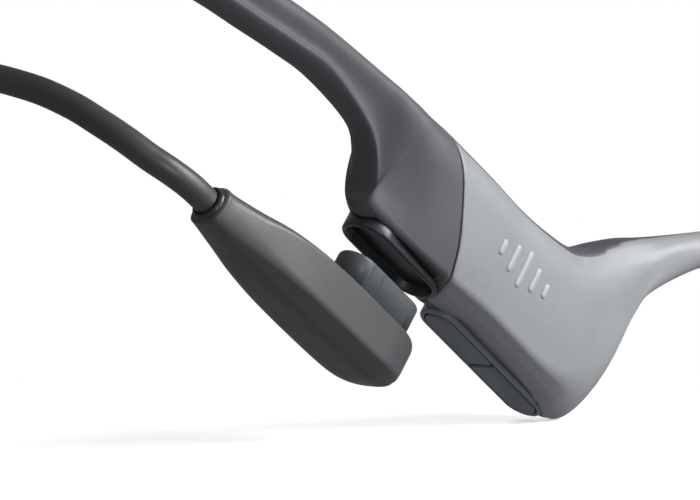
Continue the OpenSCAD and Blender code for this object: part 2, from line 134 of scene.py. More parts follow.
class Shader:
    """A Principled material with small helpers for its procedural nodes."""

    def __init__(self, name, rough, metallic=0.0, specular=0.5):
        self.material = bpy.data.materials.new(name)
        self.material.use_nodes = True
        self.tree = self.material.node_tree
        self.bsdf = self.tree.nodes["Principled BSDF"]
        fill(self.bsdf, {"Roughness": rough, "Metallic": metallic, "Specular IOR Level": specular})
        self.place = self.node("ShaderNodeTexCoord").outputs["Object"]

    def node(self, kind, **values):
        made = self.tree.nodes.new(kind)
        for key, value in values.items():
            setattr(made, key, value)
        return made

    def link(self, start, end):
        self.tree.links.new(start, end)

    def feed(self, source, socket):
        """Gives a socket a constant colour, or the output of another node."""
        if isinstance(source, tuple):
            socket.default_value = source
        else:
            self.link(source, socket)

    def noise(self, size_mm, detail=2.0, stretch=(1, 1, 1)):
        """Noise whose features are about size_mm across."""
        mapping = self.node("ShaderNodeMapping")
        fill(mapping, {"Scale": stretch})
        self.link(self.place, mapping.inputs["Vector"])
        made = self.node("ShaderNodeTexNoise")
        fill(made, {"Scale": 1 / (size_mm * MM), "Detail": detail})
        self.link(mapping.outputs["Vector"], made.inputs["Vector"])
        return made.outputs["Fac"]

    def cells(self, size_mm, randomness=1.0, **values):
        """Distance from the middles of cells that are about size_mm across."""
        made = self.node("ShaderNodeTexVoronoi", **values)
        fill(made, {"Scale": 1 / (size_mm * MM), "Randomness": randomness})
        self.link(self.place, made.inputs["Vector"])
        return made.outputs["Distance"]

    def between(self, factor, low, high, start=0.3, end=0.7):
        """low where factor is at start, and high where it is at end."""
        made = self.node("ShaderNodeMapRange")
        fill(made, {"From Min": start, "From Max": end, "To Min": low, "To Max": high})
        self.link(factor, made.inputs["Value"])
        return made.outputs["Result"]

    def mix(self, factor, a, b):
        """a where factor is 0, and b where it is 1."""
        made = self.node("ShaderNodeMix", data_type="RGBA")
        for key, value in (("A", a), ("B", b)):
            self.feed(value, [i for i in made.inputs if i.name == key and i.type == "RGBA"][0])
        self.link(factor, made.inputs["Factor"])
        return [o for o in made.outputs if o.type == "RGBA"][0]

    def colour(self, source):
        self.feed(source, self.bsdf.inputs["Base Color"])

    def cloudy(self, colour, factor, low, high):
        """A colour scaled by a share from low to high, as factor goes from 0.3 to 0.7."""
        self.colour(self.mix(self.between(factor, 0, 1), scaled(colour, low), scaled(colour, high)))

    def roughness(self, source):
        self.link(source, self.bsdf.inputs["Roughness"])

    def bump(self, height, strength, depth_mm):
        made = self.node("ShaderNodeBump")
        fill(made, {"Strength": strength, "Distance": depth_mm * MM})
        self.link(height, made.inputs["Height"])
        self.link(made.outputs["Normal"], self.bsdf.inputs["Normal"])

    def sheen(self, weight, rough):
        fill(self.bsdf, {"Sheen Weight": weight, "Sheen Roughness": rough})

    def edges(self):
        """1 on convex edges, which are lightened partly as worn plastic and partly as a painted
        highlight, 0 elsewhere.
        """
        return self.between(self.node("ShaderNodeNewGeometry").outputs["Pointiness"], 0, 1, *EDGE_WEAR_AND_HIGHLIGHT)


def moulded(name, colour, rough, grain_mm=0.28, grain=0.25, mottle=0.06, edge_wear_and_highlight=0.25, specular=0.45):
    """Moulded plastic or soft-touch skin: fine spark texture, faint mottling, and convex edges painted
    lighter, partly as worn plastic and partly as a painted highlight.
    """
    made = Shader(name, rough, specular=specular)
    cloudy = made.noise(7.0, 3)
    speck = made.noise(grain_mm * 1.6, 1)
    body = made.mix(made.between(cloudy, 0, 1), scaled(colour, 1 - mottle), scaled(colour, 1 + mottle))
    body = made.mix(made.between(speck, 0, 0.5, 0.35, 0.7), body, scaled(colour, 1 + 1.6 * mottle))
    # Convex edges painted lighter: partly worn plastic, partly a painted highlight along the ridges
    made.colour(made.mix(made.edges(), body, scaled(colour, 1 + edge_wear_and_highlight)))
    made.roughness(made.between(made.noise(3.0, 4), rough - 0.05, rough + 0.06))
    made.bump(made.noise(grain_mm, 2), grain, 0.02)
    return made.material


def metal(name, colour, rough, brushed=(1, 1, 1), grain_mm=0.3):
    """Plated or drawn metal with fine lines along one axis."""
    made = Shader(name, rough, metallic=1.0)
    lines = made.noise(grain_mm, 3, brushed)
    made.cloudy(colour, lines, 0.85, 1.08)
    made.roughness(made.between(lines, rough - 0.06, rough + 0.1))
    made.bump(lines, 0.12, 0.01)
    return made.material


def skin_silicone():
    """Matt silicone with a fine pebble and a soft sheen."""
    made = Shader("pad_silicone", 0.62, specular=0.35)
    made.sheen(0.25, 0.5)
    made.cloudy(srgb(62, 63, 66), made.noise(4.0, 3), 1, 1.2)
    made.roughness(made.between(made.noise(1.0, 2), 0.56, 0.68))
    made.bump(made.noise(0.4, 2), 0.35, 0.03)
    return made.material


def strap_fabric():
    """Hook-and-loop strap: fuzzy loops over a coarse weave."""
    made = Shader("tie_fabric", 0.9, specular=0.2)
    made.sheen(0.6, 0.6)
    weave = made.cells(0.45)
    dark = srgb(34, 34, 37)
    made.colour(made.mix(weave, scaled(dark, 1.7), dark))
    made.bump(weave, 0.6, 0.12)
    return made.material


def copper_wire():
    """Wound enamelled wire, with fine turns round the pod's axis."""
    made = Shader("copper_wire", 0.35, metallic=0.9)
    turns = made.noise(0.2, 1, (1, 1, 6))
    made.cloudy(srgb(190, 105, 60), turns, 0.7, 1)
    made.bump(turns, 0.4, 0.05)
    return made.material


def clear_lens():
    """Milky clear plastic of the status light."""
    made = Shader("light_lens", 0.2)
    fill(made.bsdf, {"Transmission Weight": 0.8})
    made.cloudy(srgb(225, 230, 238), made.noise(0.6, 2), 0.92, 1)
    made.bump(made.noise(0.3, 1), 0.05, 0.01)
    return made.material


def woven_mesh():
    """Woven steel gauze over the microphone."""
    made = Shader("gauze", 0.45, metallic=0.8)
    cells = made.cells(0.22, 0.1, distance="CHEBYCHEV")
    made.colour(made.mix(made.between(cells, 0, 1, 0.2, 0.45), srgb(20, 20, 22), srgb(96, 97, 100)))
    made.bump(cells, 0.8, 0.06)
    return made.material


# Each edge amount below paints convex edges lighter, partly as worn plastic and partly as a painted
# highlight; the plug's is strongest, a painted highlight along its ridge
SOFT_DARK = moulded("soft_touch_dark", srgb(80, 81, 84), 0.55, edge_wear_and_highlight=0.12, specular=0.3)
COVER_GREY = moulded("cover_grey", srgb(138, 140, 143), 0.44, edge_wear_and_highlight=0.1)
INNER_GREY = moulded("inner_grey", srgb(70, 71, 75), 0.5)
BAND_GREY = moulded("band_grey", srgb(136, 137, 141), 0.46, edge_wear_and_highlight=0.1)
POD_DARK = moulded("pod_dark", srgb(86, 87, 91), 0.46)
PORT_BLACK = moulded("port_black", srgb(44, 46, 50), 0.3, grain=0.08)
KEY_FRAME = moulded("key_frame", srgb(112, 117, 125), 0.4)
KEY_GREY = moulded("key_grey", srgb(96, 100, 106), 0.42)
PLUG_DARK = moulded("plug_dark", srgb(68, 70, 72), 0.42, edge_wear_and_highlight=0.5)
BOSS_GREY = moulded("boss_grey", srgb(74, 77, 80), 0.42)
GROOVE = moulded("groove_dark", srgb(34, 35, 37), 0.6)
CABLE = moulded("cable_jacket", srgb(62, 63, 65), 0.42, grain_mm=0.5, grain=0.15)
MARK = moulded("silver_print", srgb(172, 174, 178), 0.4, mottle=0.03, edge_wear_and_highlight=0)
FAINT_MARK = moulded("key_print", srgb(120, 124, 130), 0.45, mottle=0.03, edge_wear_and_highlight=0)
PAD = skin_silicone()
STRAP = strap_fabric()
GOLD = metal("contact_gold", srgb(214, 178, 104), 0.22)
STEEL = metal("drawn_steel", srgb(168, 169, 172), 0.3, (1, 8, 1))
PLATED = metal("plated_metal", srgb(196, 197, 200), 0.22, (1, 6, 6))
BOARD = moulded("board_green", srgb(38, 92, 60), 0.35)
FOIL = metal("cell_foil", srgb(190, 192, 196), 0.35)
USB_WHITE = moulded("usb_white", srgb(222, 222, 224), 0.4)
COPPER = copper_wire()
LENS = clear_lens()
GAUZE = woven_mesh()

# ---- Mesh helpers ----

# Points for each rounded corner of a loop, and steps of a rounded edge
ROUND_STEPS = 6
EDGE_STEPS = 5


def added(name, data):
    """A new object in the scene."""
    made = bpy.data.objects.new(name, data)
    bpy.context.scene.collection.objects.link(made)
    return made


def mesh_object(name, shape, narrow=False):
    """A mesh from points in millimetres and faces, with the faces turned outwards.

    With narrow, large faces are split across their narrow way, so that they follow a curve."""
    points, faces = shape
    mesh = bpy.data.meshes.new(name)
    mesh.from_pydata([p * MM for p in points], [], faces)
    build = bmesh.new()
    build.from_mesh(mesh)
    bmesh.ops.remove_doubles(build, verts=build.verts, dist=1e-7)
    bmesh.ops.recalc_face_normals(build, faces=build.faces)
    if narrow:
        large = [f for f in build.faces if len(f.verts) > 4]
        bmesh.ops.triangulate(build, faces=large, ngon_method="BEAUTY")
    build.to_mesh(mesh)
    build.free()
    return added(name, mesh)


def piece(name, shape, material, body, replaced=(), narrow=False):
    """A smooth mesh piece of the object, on its body."""
    made = mesh_object(name, shape, narrow)
    made.data.materials.append(material)
    made.data.shade_smooth()
    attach(made, body)
    if replaced:
        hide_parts(*replaced)
    return made


def weighted(made):
    """Keeps flat faces flat beside small rounded edges."""
    tidy = made.modifiers.new("weighted", "WEIGHTED_NORMAL")
    tidy.mode = "FACE_AREA"
    tidy.weight = 60
    return made


def cut(made, cutter):
    """Cuts a closed shape out of a piece."""
    tool = made.modifiers.new("cut", "BOOLEAN")
    tool.operation = "DIFFERENCE"
    tool.solver = "EXACT"
    tool.object = mesh_object("cutter", cutter)
    bpy.context.view_layer.update()
    shown = made.evaluated_get(bpy.context.evaluated_depsgraph_get())
    mesh = bpy.data.meshes.new_from_object(shown)
    bpy.data.objects.remove(tool.object)
    made.modifiers.remove(tool)
    made.data = mesh
    mesh.shade_smooth()
    return made


def smooth_step(t):
    """0 before t is 0, 1 after t is 1, and a smooth rise between."""
    t = max(0.0, min(1.0, t))
    return t * t * (3 - 2 * t)


def loft(rings, caps=True):
    """Points and faces through a list of equal closed loops."""
    count = len(rings[0])
    points = [p for loop in rings for p in loop]
    faces = []
    for low in range(0, (len(rings) - 1) * count, count):
        for i in range(count):
            j = (i + 1) % count
            faces.append((low + i, low + j, low + count + j, low + count + i))
    if caps:
        faces.append(tuple(range(count - 1, -1, -1)))
        faces.append(tuple(range((len(rings) - 1) * count, len(rings) * count)))
    return points, faces


def spline(rows, steps):
    """Smooth rows of numbers through the given ones, with steps new rows for each gap."""
    made = []
    for i in range(len(rows) - 1):
        a, b, c, d = rows[max(i - 1, 0)], rows[i], rows[i + 1], rows[min(i + 2, len(rows) - 1)]
        for k in range(steps):
            t = k / steps
            made.append([
                0.5 * (2 * q + (r - p) * t + (2 * p - 5 * q + 4 * r - s) * t * t
                       + (3 * q - p - 3 * r + s) * t ** 3)
                for p, q, r, s in zip(a, b, c, d)
            ])
    made.append(list(rows[-1]))
    return made


def rounded(corners):
    """A loop round (point, rounding) corners. A rounding of 1 starts half way along the sides."""
    made = []
    for i, (corner, soft) in enumerate(corners):
        start = corner.lerp(corners[i - 1][0], soft / 2)
        end = corner.lerp(corners[(i + 1) % len(corners)][0], soft / 2)
        for k in range(ROUND_STEPS):
            t = (k + 0.5) / ROUND_STEPS
            made.append((1 - t) ** 2 * start + 2 * t * (1 - t) * corner + t * t * end)
    return made


def circle(steps, radius=1.0):
    """Pairs of numbers round a circle."""
    turns = [2 * math.pi * i / steps for i in range(steps)]
    return [(radius * math.cos(t), radius * math.sin(t)) for t in turns]


def stadium(length, width, steps=16):
    """Outline of an oval with straight sides, as (s, x) pairs round its middle."""
    radius, reach = width / 2, (length - width) / 2
    ends = []
    for side in SIDES:
        for i in range(steps + 1):
            turn = math.radians(-90 + 180 * i / steps) + (0 if side > 0 else math.pi)
            ends.append((side * reach + radius * math.cos(turn), radius * math.sin(turn)))
    return ends


def inset(outline, amount):
    """The outline of an oval, moved in by amount along its own normals."""
    count = len(outline)
    made = []
    for i, (s, x) in enumerate(outline):
        before, after = outline[i - 1], outline[(i + 1) % count]
        run, rise = after[0] - before[0], after[1] - before[1]
        size = math.hypot(run, rise)
        made.append((s - amount * rise / size, x + amount * run / size))
    return made


def port_loop(outline, d, middle=(0, 0)):
    """An outline of (s, x) pairs round a middle, at depth d."""
    return [at_port(middle[0] + s, middle[1] + x, d) for s, x in outline]


def oval_rings(middle, outline, base, face, radius):
    """Loops of an oval block from its base to its face, with a rounded edge round the face."""
    rings = [port_loop(outline, base, middle)]
    back = math.copysign(1, base - face)
    for i in range(EDGE_STEPS + 1):
        turn = math.radians(90 * i / EDGE_STEPS)
        loop = inset(outline, radius * (1 - math.cos(turn)))
        rings.append(port_loop(loop, face + back * (radius * (1 - math.sin(turn))), middle))
    return rings


def node_oval(node, play=0.0):
    """Outline and middle of an oval CAD node, with some play round it."""
    low, high = node_span(node)
    outline = stadium(high.x - low.x + play, high.y - low.y + play)
    return outline, ((low.x + high.x) / 2, (low.y + high.y) / 2)


def opening(node, depths):
    """A shape to cut out for an oval CAD node."""
    outline, middle = node_oval(node, OPENING_PLAY)
    return loft([port_loop(outline, d, middle) for d in depths])


# ---- Housing sections ----
# Every section is a loop of nine corners, each rounded by its own share: top outer, upper outer,
# valley, ridge, bottom outer, bottom inner, lower inner, upper inner, top inner.

CORNERS = 9
HOOK_LINE = [Vector(p) for p in (
    (57, -58.4, 19), (57, -58.6, 24), (57.4, -57.9, 29), (58, -55.8, 34), (58.8, -52.4, 38.4),
    (59.7, -47.8, 42), (60.6, -42.3, 44.2), (61.4, -36.3, 45), (62, -30.3, 44.3),
    (62.5, -24.4, 42.4), (62.9, -18.6, 39.6), (63, -14.2, 37.5), (63, -10.4, 35.5))]
BAND_LINE = [Vector(p) for p in (
    (65, 40.5, 16.2), (65.6, 45, 16.5), (65.2, 49.8, 16.6), (63.3, 54.6, 16.6), (59.8, 59, 16.6),
    (54.6, 62.8, 16.6), (47.6, 66.1, 16.6), (38.6, 68.8, 16.6), (27, 70.6, 16.6),
    (14, 71.4, 16.6), (0, 71.5, 16.6))]
HOOK_R = 2.45
BAND_R = 1.95
# How many of the band's sections the covers run on over
COVER_REACH = 2
# Corners of the creased lower end of the hook, as (up, across, rounding), and the sections
# between which the crease grows
CREASED = {1: (0.5, 0.95, 1.0), 2: (-0.26, 0.68, 0.7), 3: (-0.55, 0.96, 0.9), 4: (-1.0, 0.28, 1.0)}
CREASE_FROM, CREASE_TO = 6, 9


def edge(s, d):
    """A top or bottom point of a section, from its place in the frame of the port."""
    point = at_port(s, 0, d)
    return Vector((0, point.y, point.z))


def spot(y, z):
    """A top or bottom point of a section, from its height and its place front to back."""
    return Vector((0, y, z))


def section(top, bottom, half, ridge, valley, foot, inner=(0, 0.5, -0.6), slide=(), x=HOUSING_X):
    """Corners of a housing section between its top and bottom points.

    half is half its width. ridge is (rise above the bottom, share of half, rounding), valley is
    (place from -1 at the bottom to 1 at the top, share of half), foot is the outer end of the
    bottom, as a share of half, and inner is the bottom's inner corner (rise, share) and the place
    of the lower inner corner. slide moves corners along the housing."""
    up = top - bottom
    middle = (top + bottom) / 2 + x * X_AXIS
    reach = up.length / 2
    up.normalize()
    corners = [
        (reach, 0.5 * half, 0.75), (0.62 * reach, half, 0.9),
        (valley[0] * reach, valley[1] * half, 1.0),
        (-reach + ridge[0], ridge[1] * half, ridge[2]),
        (-reach, foot * half, min(1.0, ridge[2] + 0.15)), (-reach + inner[0], -inner[1] * half, 0.9),
        (inner[2] * reach, -half, 1.0), (0.6 * reach, -half, 1.0), (reach, -0.5 * half, 0.9),
    ]
    row = []
    for i, (a, b, soft) in enumerate(corners):
        moved = slide[i] * ALONG if slide else Vector()
        row += [*(middle + a * up + b * X_AXIS + moved), soft]
    return row


def round_section(centre, up, across, radius):
    """Corners of a round section, in the same order as a housing section's."""
    reach = radius / math.cos(math.pi / CORNERS)
    row = []
    for i in range(CORNERS):
        turn = 2 * math.pi * (i + 0.5) / CORNERS
        row += [*(centre + reach * (math.cos(turn) * up + math.sin(turn) * across)), 1.0]
    return row


def ring(row):
    """The rounded loop of a row of corners."""
    return rounded([(Vector(row[4 * i:4 * i + 3]), max(0.02, min(1.0, row[4 * i + 3])))
                    for i in range(CORNERS)])


def heading(line, i):
    return (line[min(i + 1, len(line) - 1)] - line[max(i - 1, 0)]).normalized()


def hook_rows():
    """Sections of the ear hook, round at the pod and with a crease along the end at the flare."""
    rows = []
    reach = HOOK_R / math.cos(math.pi / CORNERS)
    for i, point in enumerate(HOOK_LINE):
        along = heading(HOOK_LINE, i)
        up = X_AXIS.cross(along).normalized()
        across = along.cross(up)
        row = round_section(point, up, across, HOOK_R)
        share = max(0.0, min(1.0, (i - CREASE_FROM) / (CREASE_TO - CREASE_FROM)))
        for corner, (a, b, soft) in CREASED.items():
            place = [*(point + reach * (a * up + b * across)), soft]
            first = 4 * corner
            row[first:first + 4] = [(1 - share) * old + share * new
                                    for old, new in zip(row[first:first + 4], place)]
        rows.append(row)
    return rows


SEAM = section(edge(-1.7, -13.2), edge(7.4, -0.3), 4.8, (0.9, 0.9, 0.35), (-0.35, 1.0), 0.45,
               slide=(-1.9, -1.6, -1.9, -2.9, -2.1, 0.4, 0, -0.8, -1.7))


def flare_rows():
    """Sections of the flared front, from the ear hook to the seam."""
    return [
        section(edge(-12.3, -12.8), edge(-12.7, -7.4), 2.9, (0.4, 0.76, 0.85), (-0.45, 0.58), 0.2,
                (0.5, 0.5, -0.3)),
        section(edge(-10, -12.9), edge(-9.4, -6.2), 3.6, (0.4, 0.54, 0.85), (-0.58, 0.46), 0.0,
                (1.0, 0.5, 0.0)),
        section(edge(-7.6, -13), edge(-7.4, -3.5), 4.2, (0.4, 0.45, 0.8), (-0.66, 0.48), 0.0,
                (0.8, 0.42, 0.1)),
        section(edge(-5.6, -13), edge(-7.3, -1.0), 4.6, (0.9, 0.5, 0.6), (-0.38, 0.48), 0.12,
                (1.6, 0.42, 0.05), (-0.5, -0.3, 0, 0, 0, 0, 0, 0, 0)),
        section(edge(-4.3, -13.05), edge(-3.8, -0.4), 4.72, (0.8, 0.66, 0.45), (-0.4, 0.68), 0.2,
                (0.9, 0.54, -0.2), (-1.0, -0.7, -0.4, -0.2, -0.1, 0, 0, -0.2, -0.5)),
        section(edge(-3.2, -13.1), edge(0.4, -0.3), 4.8, (0.75, 0.8, 0.3), (-0.4, 0.86), 0.3,
                (0.3, 0.62, -0.45), (-1.5, -1.2, -1.1, -0.8, -0.5, 0, 0, -0.4, -0.9)),
        SEAM,
    ]


def rear_rows():
    """Sections behind the seam, round the lobe to the neckband."""
    return [
        SEAM,
        section(edge(3.8, -13.4), edge(10.4, -0.7), 4.8, (0.9, 0.92, 0.35), (-0.3, 1.02), 0.55),
        section(edge(9.3, -13.4), edge(14.4, -0.7), 4.8, (0.9, 0.93, 0.35), (-0.3, 1.02), 0.6),
        section(spot(18, 19), edge(18.5, -0.7), 4.8, (0.9, 0.93, 0.4), (-0.3, 1.02), 0.6),
        section(spot(21.5, 17.4), edge(23.3, -0.7), 4.7, (1.6, 0.88, 0.6), (-0.25, 1.0), 0.45),
        section(spot(24.5, 17.1), spot(19.8, 0.7), 4.5, (3.0, 0.88, 0.9), (-0.1, 0.98), 0.3, x=63),
        section(spot(27.5, 17.5), spot(22.6, 0), 4.0, (4.0, 0.88, 1), (0, 0.96), 0.15, x=63.1),
        section(spot(30.5, 17.8), spot(25.9, 2.3), 3.4, (4.2, 0.88, 1), (0.05, 0.96), 0.15, x=63.4),
        section(spot(33.5, 17.8), spot(28.6, 7), 2.8, (3.2, 0.9, 1), (0.1, 0.96), 0.2, x=63.8),
        section(spot(36.5, 17.9), spot(31.9, 11.2), 2.4, (1.8, 0.95, 1), (0.1, 1.0), 0.3, x=64.3),
    ]


def band_row(i):
    """A round section of the neckband."""
    across = heading(BAND_LINE, i).cross(Z_AXIS).normalized()
    return round_section(BAND_LINE[i], across.cross(heading(BAND_LINE, i)), across, BAND_R)


# ---- Shells ----

# New sections for each gap between two that are given
RING_STEPS = 6
SEAM_BEVEL = 0.12
SHELL_WALL = 1.1
# The most of a shell's half width that its wall may take up
WALL_SHARE = 0.3
# How far the inner shell stops short of the joint line, as a share of the gap between points
INNER_SHORT = 0.1
# How far the hook's end inside the pod is closed in
HOOK_END = 0.4
# Where the neckband's sleeve starts, as a share of its first step behind the covers
BAND_START = 0.3
# Where the outer cover meets the inner shell, as places in a ring: on top of the housing, on top
# of the neckband, and below both
SPLIT_TOP = 5.2
SPLIT_BAND = 0
SPLIT_BOTTOM = 5 * ROUND_STEPS
# The sections behind the seam between which the top of the joint line moves over
SPLIT_MOVES = (3.5, 10.5)
# Play round the port's rim and the key bar, and the depths of the openings for them
OPENING_PLAY = 0.06
RIM_DEPTHS = (-3.4, 3)
BAR_DEPTHS = (-3.7, 3)


def middle_of(loop):
    return sum(loop, Vector()) / len(loop)


def towards(point, middle, amount):
    return point + (middle - point).normalized() * amount


def shrunk(loop, amount, shift=Vector()):
    """A loop moved in towards its middle by amount, and along by shift."""
    middle = middle_of(loop)
    return [towards(p, middle, amount) + shift for p in loop]


def lip(rings):
    """Loops that turn the last end of a shell in, so that a fine groove shows at the seam."""
    edge_loop, near = rings[-1], rings[-2]
    back = (sum(near, Vector()) - sum(edge_loop, Vector())) / len(near)
    back.normalize()
    return [shrunk(edge_loop, SEAM_BEVEL), shrunk(edge_loop, 4 * SEAM_BEVEL, 3 * SEAM_BEVEL * back)]


def pull_back(rings, amount):
    """Moves the last loop back towards the one before it by amount."""
    last, near = rings[-1], rings[-2]
    share = amount / max(0.01, (sum(last, Vector()) - sum(near, Vector())).length / len(last))
    return rings[:-1] + [[p.lerp(q, share) for p, q in zip(last, near)]]


def side_piece(side, part, node, shape, material):
    """A piece of the headset that was made for the left side, on the given side."""
    return piece(prefix(side) + part, sided(shape, side), material, "headset",
                 [prefix(side) + node])


def hook_cover(side):
    """Soft skin of the ear hook and the flared front of the housing, in one piece."""
    rings = pull_back([ring(r) for r in spline(hook_rows() + flare_rows(), RING_STEPS)], SEAM_BEVEL)
    rings = [shrunk(rings[0], HOOK_END)] + rings + lip(rings)
    made = side_piece(side, "hook_skin", "hook_cover", loft(rings), SOFT_DARK)
    if side > 0:
        made = cut(made, opening("charging_port_bezel", RIM_DEPTHS))
    weighted(made)


def ring_place(loop, place):
    """The point at a place in a ring, counted in points and shares of the gap to the next."""
    whole = math.floor(place)
    return loop[whole % len(loop)].lerp(loop[(whole + 1) % len(loop)], place - whole)


def split_place(number):
    """Place in a ring of the joint line along the top, at a section counted from the seam."""
    share = (number - SPLIT_MOVES[0]) / (SPLIT_MOVES[1] - SPLIT_MOVES[0])
    return SPLIT_TOP + (SPLIT_BAND - SPLIT_TOP) * smooth_step(share)


def wall_loop(loop, top, outer):
    """A loop along one half of a ring, from top to bottom or back up, and back inside its wall."""
    count = len(loop)
    middle = middle_of(loop)
    if outer:
        skin = [ring_place(loop, max(i, top)) for i in range(SPLIT_BAND, SPLIT_BOTTOM + 1)]
        bevel = SEAM_BEVEL
    else:
        last = count + math.ceil(SPLIT_TOP)
        skin = [ring_place(loop, min(i, count + top)) for i in range(SPLIT_BOTTOM, last + 1)]
        skin[0] = skin[0].lerp(skin[1], INNER_SHORT)
        skin[-1] = skin[-1].lerp(skin[-2], INNER_SHORT)
        bevel = SEAM_BEVEL / 2
    wall = min(SHELL_WALL, WALL_SHARE * (skin[len(skin) // 2] - middle).length)
    inside = [towards(p, middle, wall) for p in skin]
    for end in (0, -1):
        skin[end] = towards(skin[end], middle, bevel)
    return skin + inside[::-1]


def half_shell(side, outer):
    """Half of the housing behind the seam, with its wall."""
    rows = rear_rows() + [band_row(i) for i in range(COVER_REACH)]
    rings = pull_back([ring(r) for r in reversed(spline(rows, RING_STEPS))], SEAM_BEVEL)
    loops = [wall_loop(loop, split_place((len(rings) - 1 - k) / RING_STEPS), outer)
             for k, loop in enumerate(rings)]
    last = [towards(p, middle_of(rings[-1]), SEAM_BEVEL) for p in loops[-1]]
    back = (sum(rings[-2], Vector()) - sum(rings[-1], Vector())).normalized()
    loops[-1] = [p + back * SEAM_BEVEL for p in loops[-1]]
    part, material, slot = (("outer_cover", COVER_GREY, "housing_grey") if outer
                            else ("inner_shell", INNER_GREY, "inner_shell_grey"))
    made = side_piece(side, part + "_skin", part, loft(loops + [last]), material)
    if side > 0:
        made = cut(made, opening("button_frame", BAR_DEPTHS))
    weighted(made)


def neckband():
    """One sleeve from housing to housing round the back of the head."""
    rows = spline([band_row(i) for i in range(COVER_REACH - 1, len(BAND_LINE))], RING_STEPS)
    half = [ring(r) for r in rows]
    half[0] = [p.lerp(q, BAND_START) for p, q in zip(half[0], half[1])]
    half = [shrunk(half[0], 3 * SEAM_BEVEL), shrunk(half[0], SEAM_BEVEL / 2)] + half[1:]
    back = [mirrored(loop) for loop in reversed(half[:-1])]
    piece("neckband_skin", loft(half + back), BAND_GREY, "headset", ["neckband_sleeve"])


for side in SIDES:
    hook_cover(side)
    half_shell(side, True)
    half_shell(side, False)
neckband()

# ---- Port and keys ----

RIM_WALL, RIM_ROUND = 0.55, 0.25
BAR_WALL, BAR_ROUND = 0.5, 0.3
# Bevel at the mouth of a recess, and the fillet round its floor
MOUTH_BEVEL, FLOOR_FILLET = 0.12, 0.15
# Depth of the port's floor, and height of the key bar's floor above the bar's bottom
PORT_FLOOR = -1.0
BAR_FLOOR = 0.4
# Height of the keys' undersides above the bar's floor, their edge and their flat end's corners
KEY_ROOM = 0.45
KEY_ROUND = 0.22
KEY_CORNER = 0.25
# Shares of the radius and of the length of a domed contact
DOME = ((1, 0), (1, 0.8), (0.94, 0.9), (0.75, 0.965), (0.4, 0.993), (0.05, 1))


def oval_cup(name, node, floor_d, wall, radius, material):
    """An oval block with a rounded rim round a flat recess."""
    low, high = node_span(node)
    outline, middle = node_oval(node)
    mouth = inset(outline, wall)
    rings = oval_rings(middle, outline, low.z, high.z, radius)
    rings += [port_loop(loop, d, middle) for loop, d in (
        (inset(outline, wall - MOUTH_BEVEL), high.z), (mouth, high.z - MOUTH_BEVEL),
        (mouth, floor_d + FLOOR_FILLET), (inset(mouth, FLOOR_FILLET), floor_d))]
    weighted(piece(name, loft(rings), material, "headset", [node]))


def domed_pins(name, node, middles, body, dome):
    """Round gold contacts whose domed tips point out of the port (1) or into it (-1)."""
    low, high = node_span(node)
    radius = (high.y - low.y) / 2
    start, end = (low.z, high.z) if dome > 0 else (high.z, low.z)
    points, faces = [], []
    for middle in middles:
        more, sides = loft([port_loop(circle(24, share * radius), start + (end - start) * depth, middle)
                            for share, depth in DOME])
        faces += [tuple(i + len(points) for i in f) for f in sides]
        points += more
    weighted(piece(name, (points, faces), GOLD, body, [node]))


def key_outline(tip, flat, radius, end):
    """Outline of a key that is round at its tip and has small corners at its flat end."""
    centre = tip - end * radius
    outline = []
    for i in range(17):
        turn = math.radians(-90 + 180 * i / 16)
        outline.append((centre + end * radius * math.cos(turn), end * radius * math.sin(turn)))
    for side in SIDES:
        for i in range(5):
            turn = math.radians(22.5 * i if side > 0 else 90 - 22.5 * i)
            outline.append((flat + end * KEY_CORNER * (1 - math.sin(turn)),
                            end * side * (radius - KEY_CORNER * (1 - math.cos(turn)))))
    return outline


def volume_key(body, end, base):
    """One volume key: a long pad with softened edges, whose round end points along (1) or back."""
    low, high = node_span(body + "_button")
    tip, flat = (high.x, low.x) if end > 0 else (low.x, high.x)
    outline = key_outline(tip, flat, (high.y - low.y) / 2, end)
    rings = oval_rings((0, (low.y + high.y) / 2), outline, base, high.z, KEY_ROUND)
    weighted(piece(body + "_pad", loft(rings), KEY_GREY, body, [body + "_button"]))


def port_and_keys():
    oval_cup("port_rim", "charging_port_bezel", PORT_FLOOR, RIM_WALL, RIM_ROUND, PORT_BLACK)
    low, high = node_span("charging_contacts")
    reach = (high.x - low.x) / 2 - (high.y - low.y) / 2
    domed_pins("port_contacts", "charging_contacts", [(-reach, 0), (reach, 0)], "headset", 1)
    floor_d = node_span("button_frame")[0].z + BAR_FLOOR
    oval_cup("key_bar", "button_frame", floor_d, BAR_WALL, BAR_ROUND, KEY_FRAME)
    up_low, down_low = (node_span(f"volume_{way}_button")[0] for way in ("up", "down"))
    up_end = 1 if up_low.x > down_low.x else -1
    volume_key("volume_up", up_end, floor_d + KEY_ROOM)
    volume_key("volume_down", -up_end, floor_d + KEY_ROOM)


port_and_keys()

# ---- Marks ----

# The emblem's bars: their lengths, width and pitch, and the place of the middle one
EMBLEM_BARS = (1.7, 3.0, 4.1, 2.7, 1.6)
EMBLEM_WIDTH, EMBLEM_PITCH = 0.75, 1.85
EMBLEM_S, EMBLEM_D = 11.3, -7.3
# Longest gap between points of an emblem's outline, and the x from which it is cast on the cover
EMBLEM_STEP = 0.35
CAST_X = 80
# Places along the housing of the minus, the power mark and the two small lights
MINUS_S, POWER_S, LIGHTS_S = 11.8, 22.6, 25.2


def plate(name, outlines, place, material, body, thick=0.03):
    """Thin printed marks from (a, b) outlines. place turns (a, b) into a point and its normal."""
    points, faces = [], []
    for outline in outlines:
        base, count = len(points), len(outline)
        for level in SIDES:
            for a, b in outline:
                point, normal = place(a, b)
                points.append(point + level * thick * normal)
        faces.append(tuple(range(base, base + count)))
        faces.append(tuple(range(base + 2 * count - 1, base + count - 1, -1)))
        for i in range(count):
            j = (i + 1) % count
            faces.append((base + i, base + j, base + count + j, base + count + i))
    weighted(piece(name, (points, faces), material, body, narrow=True))


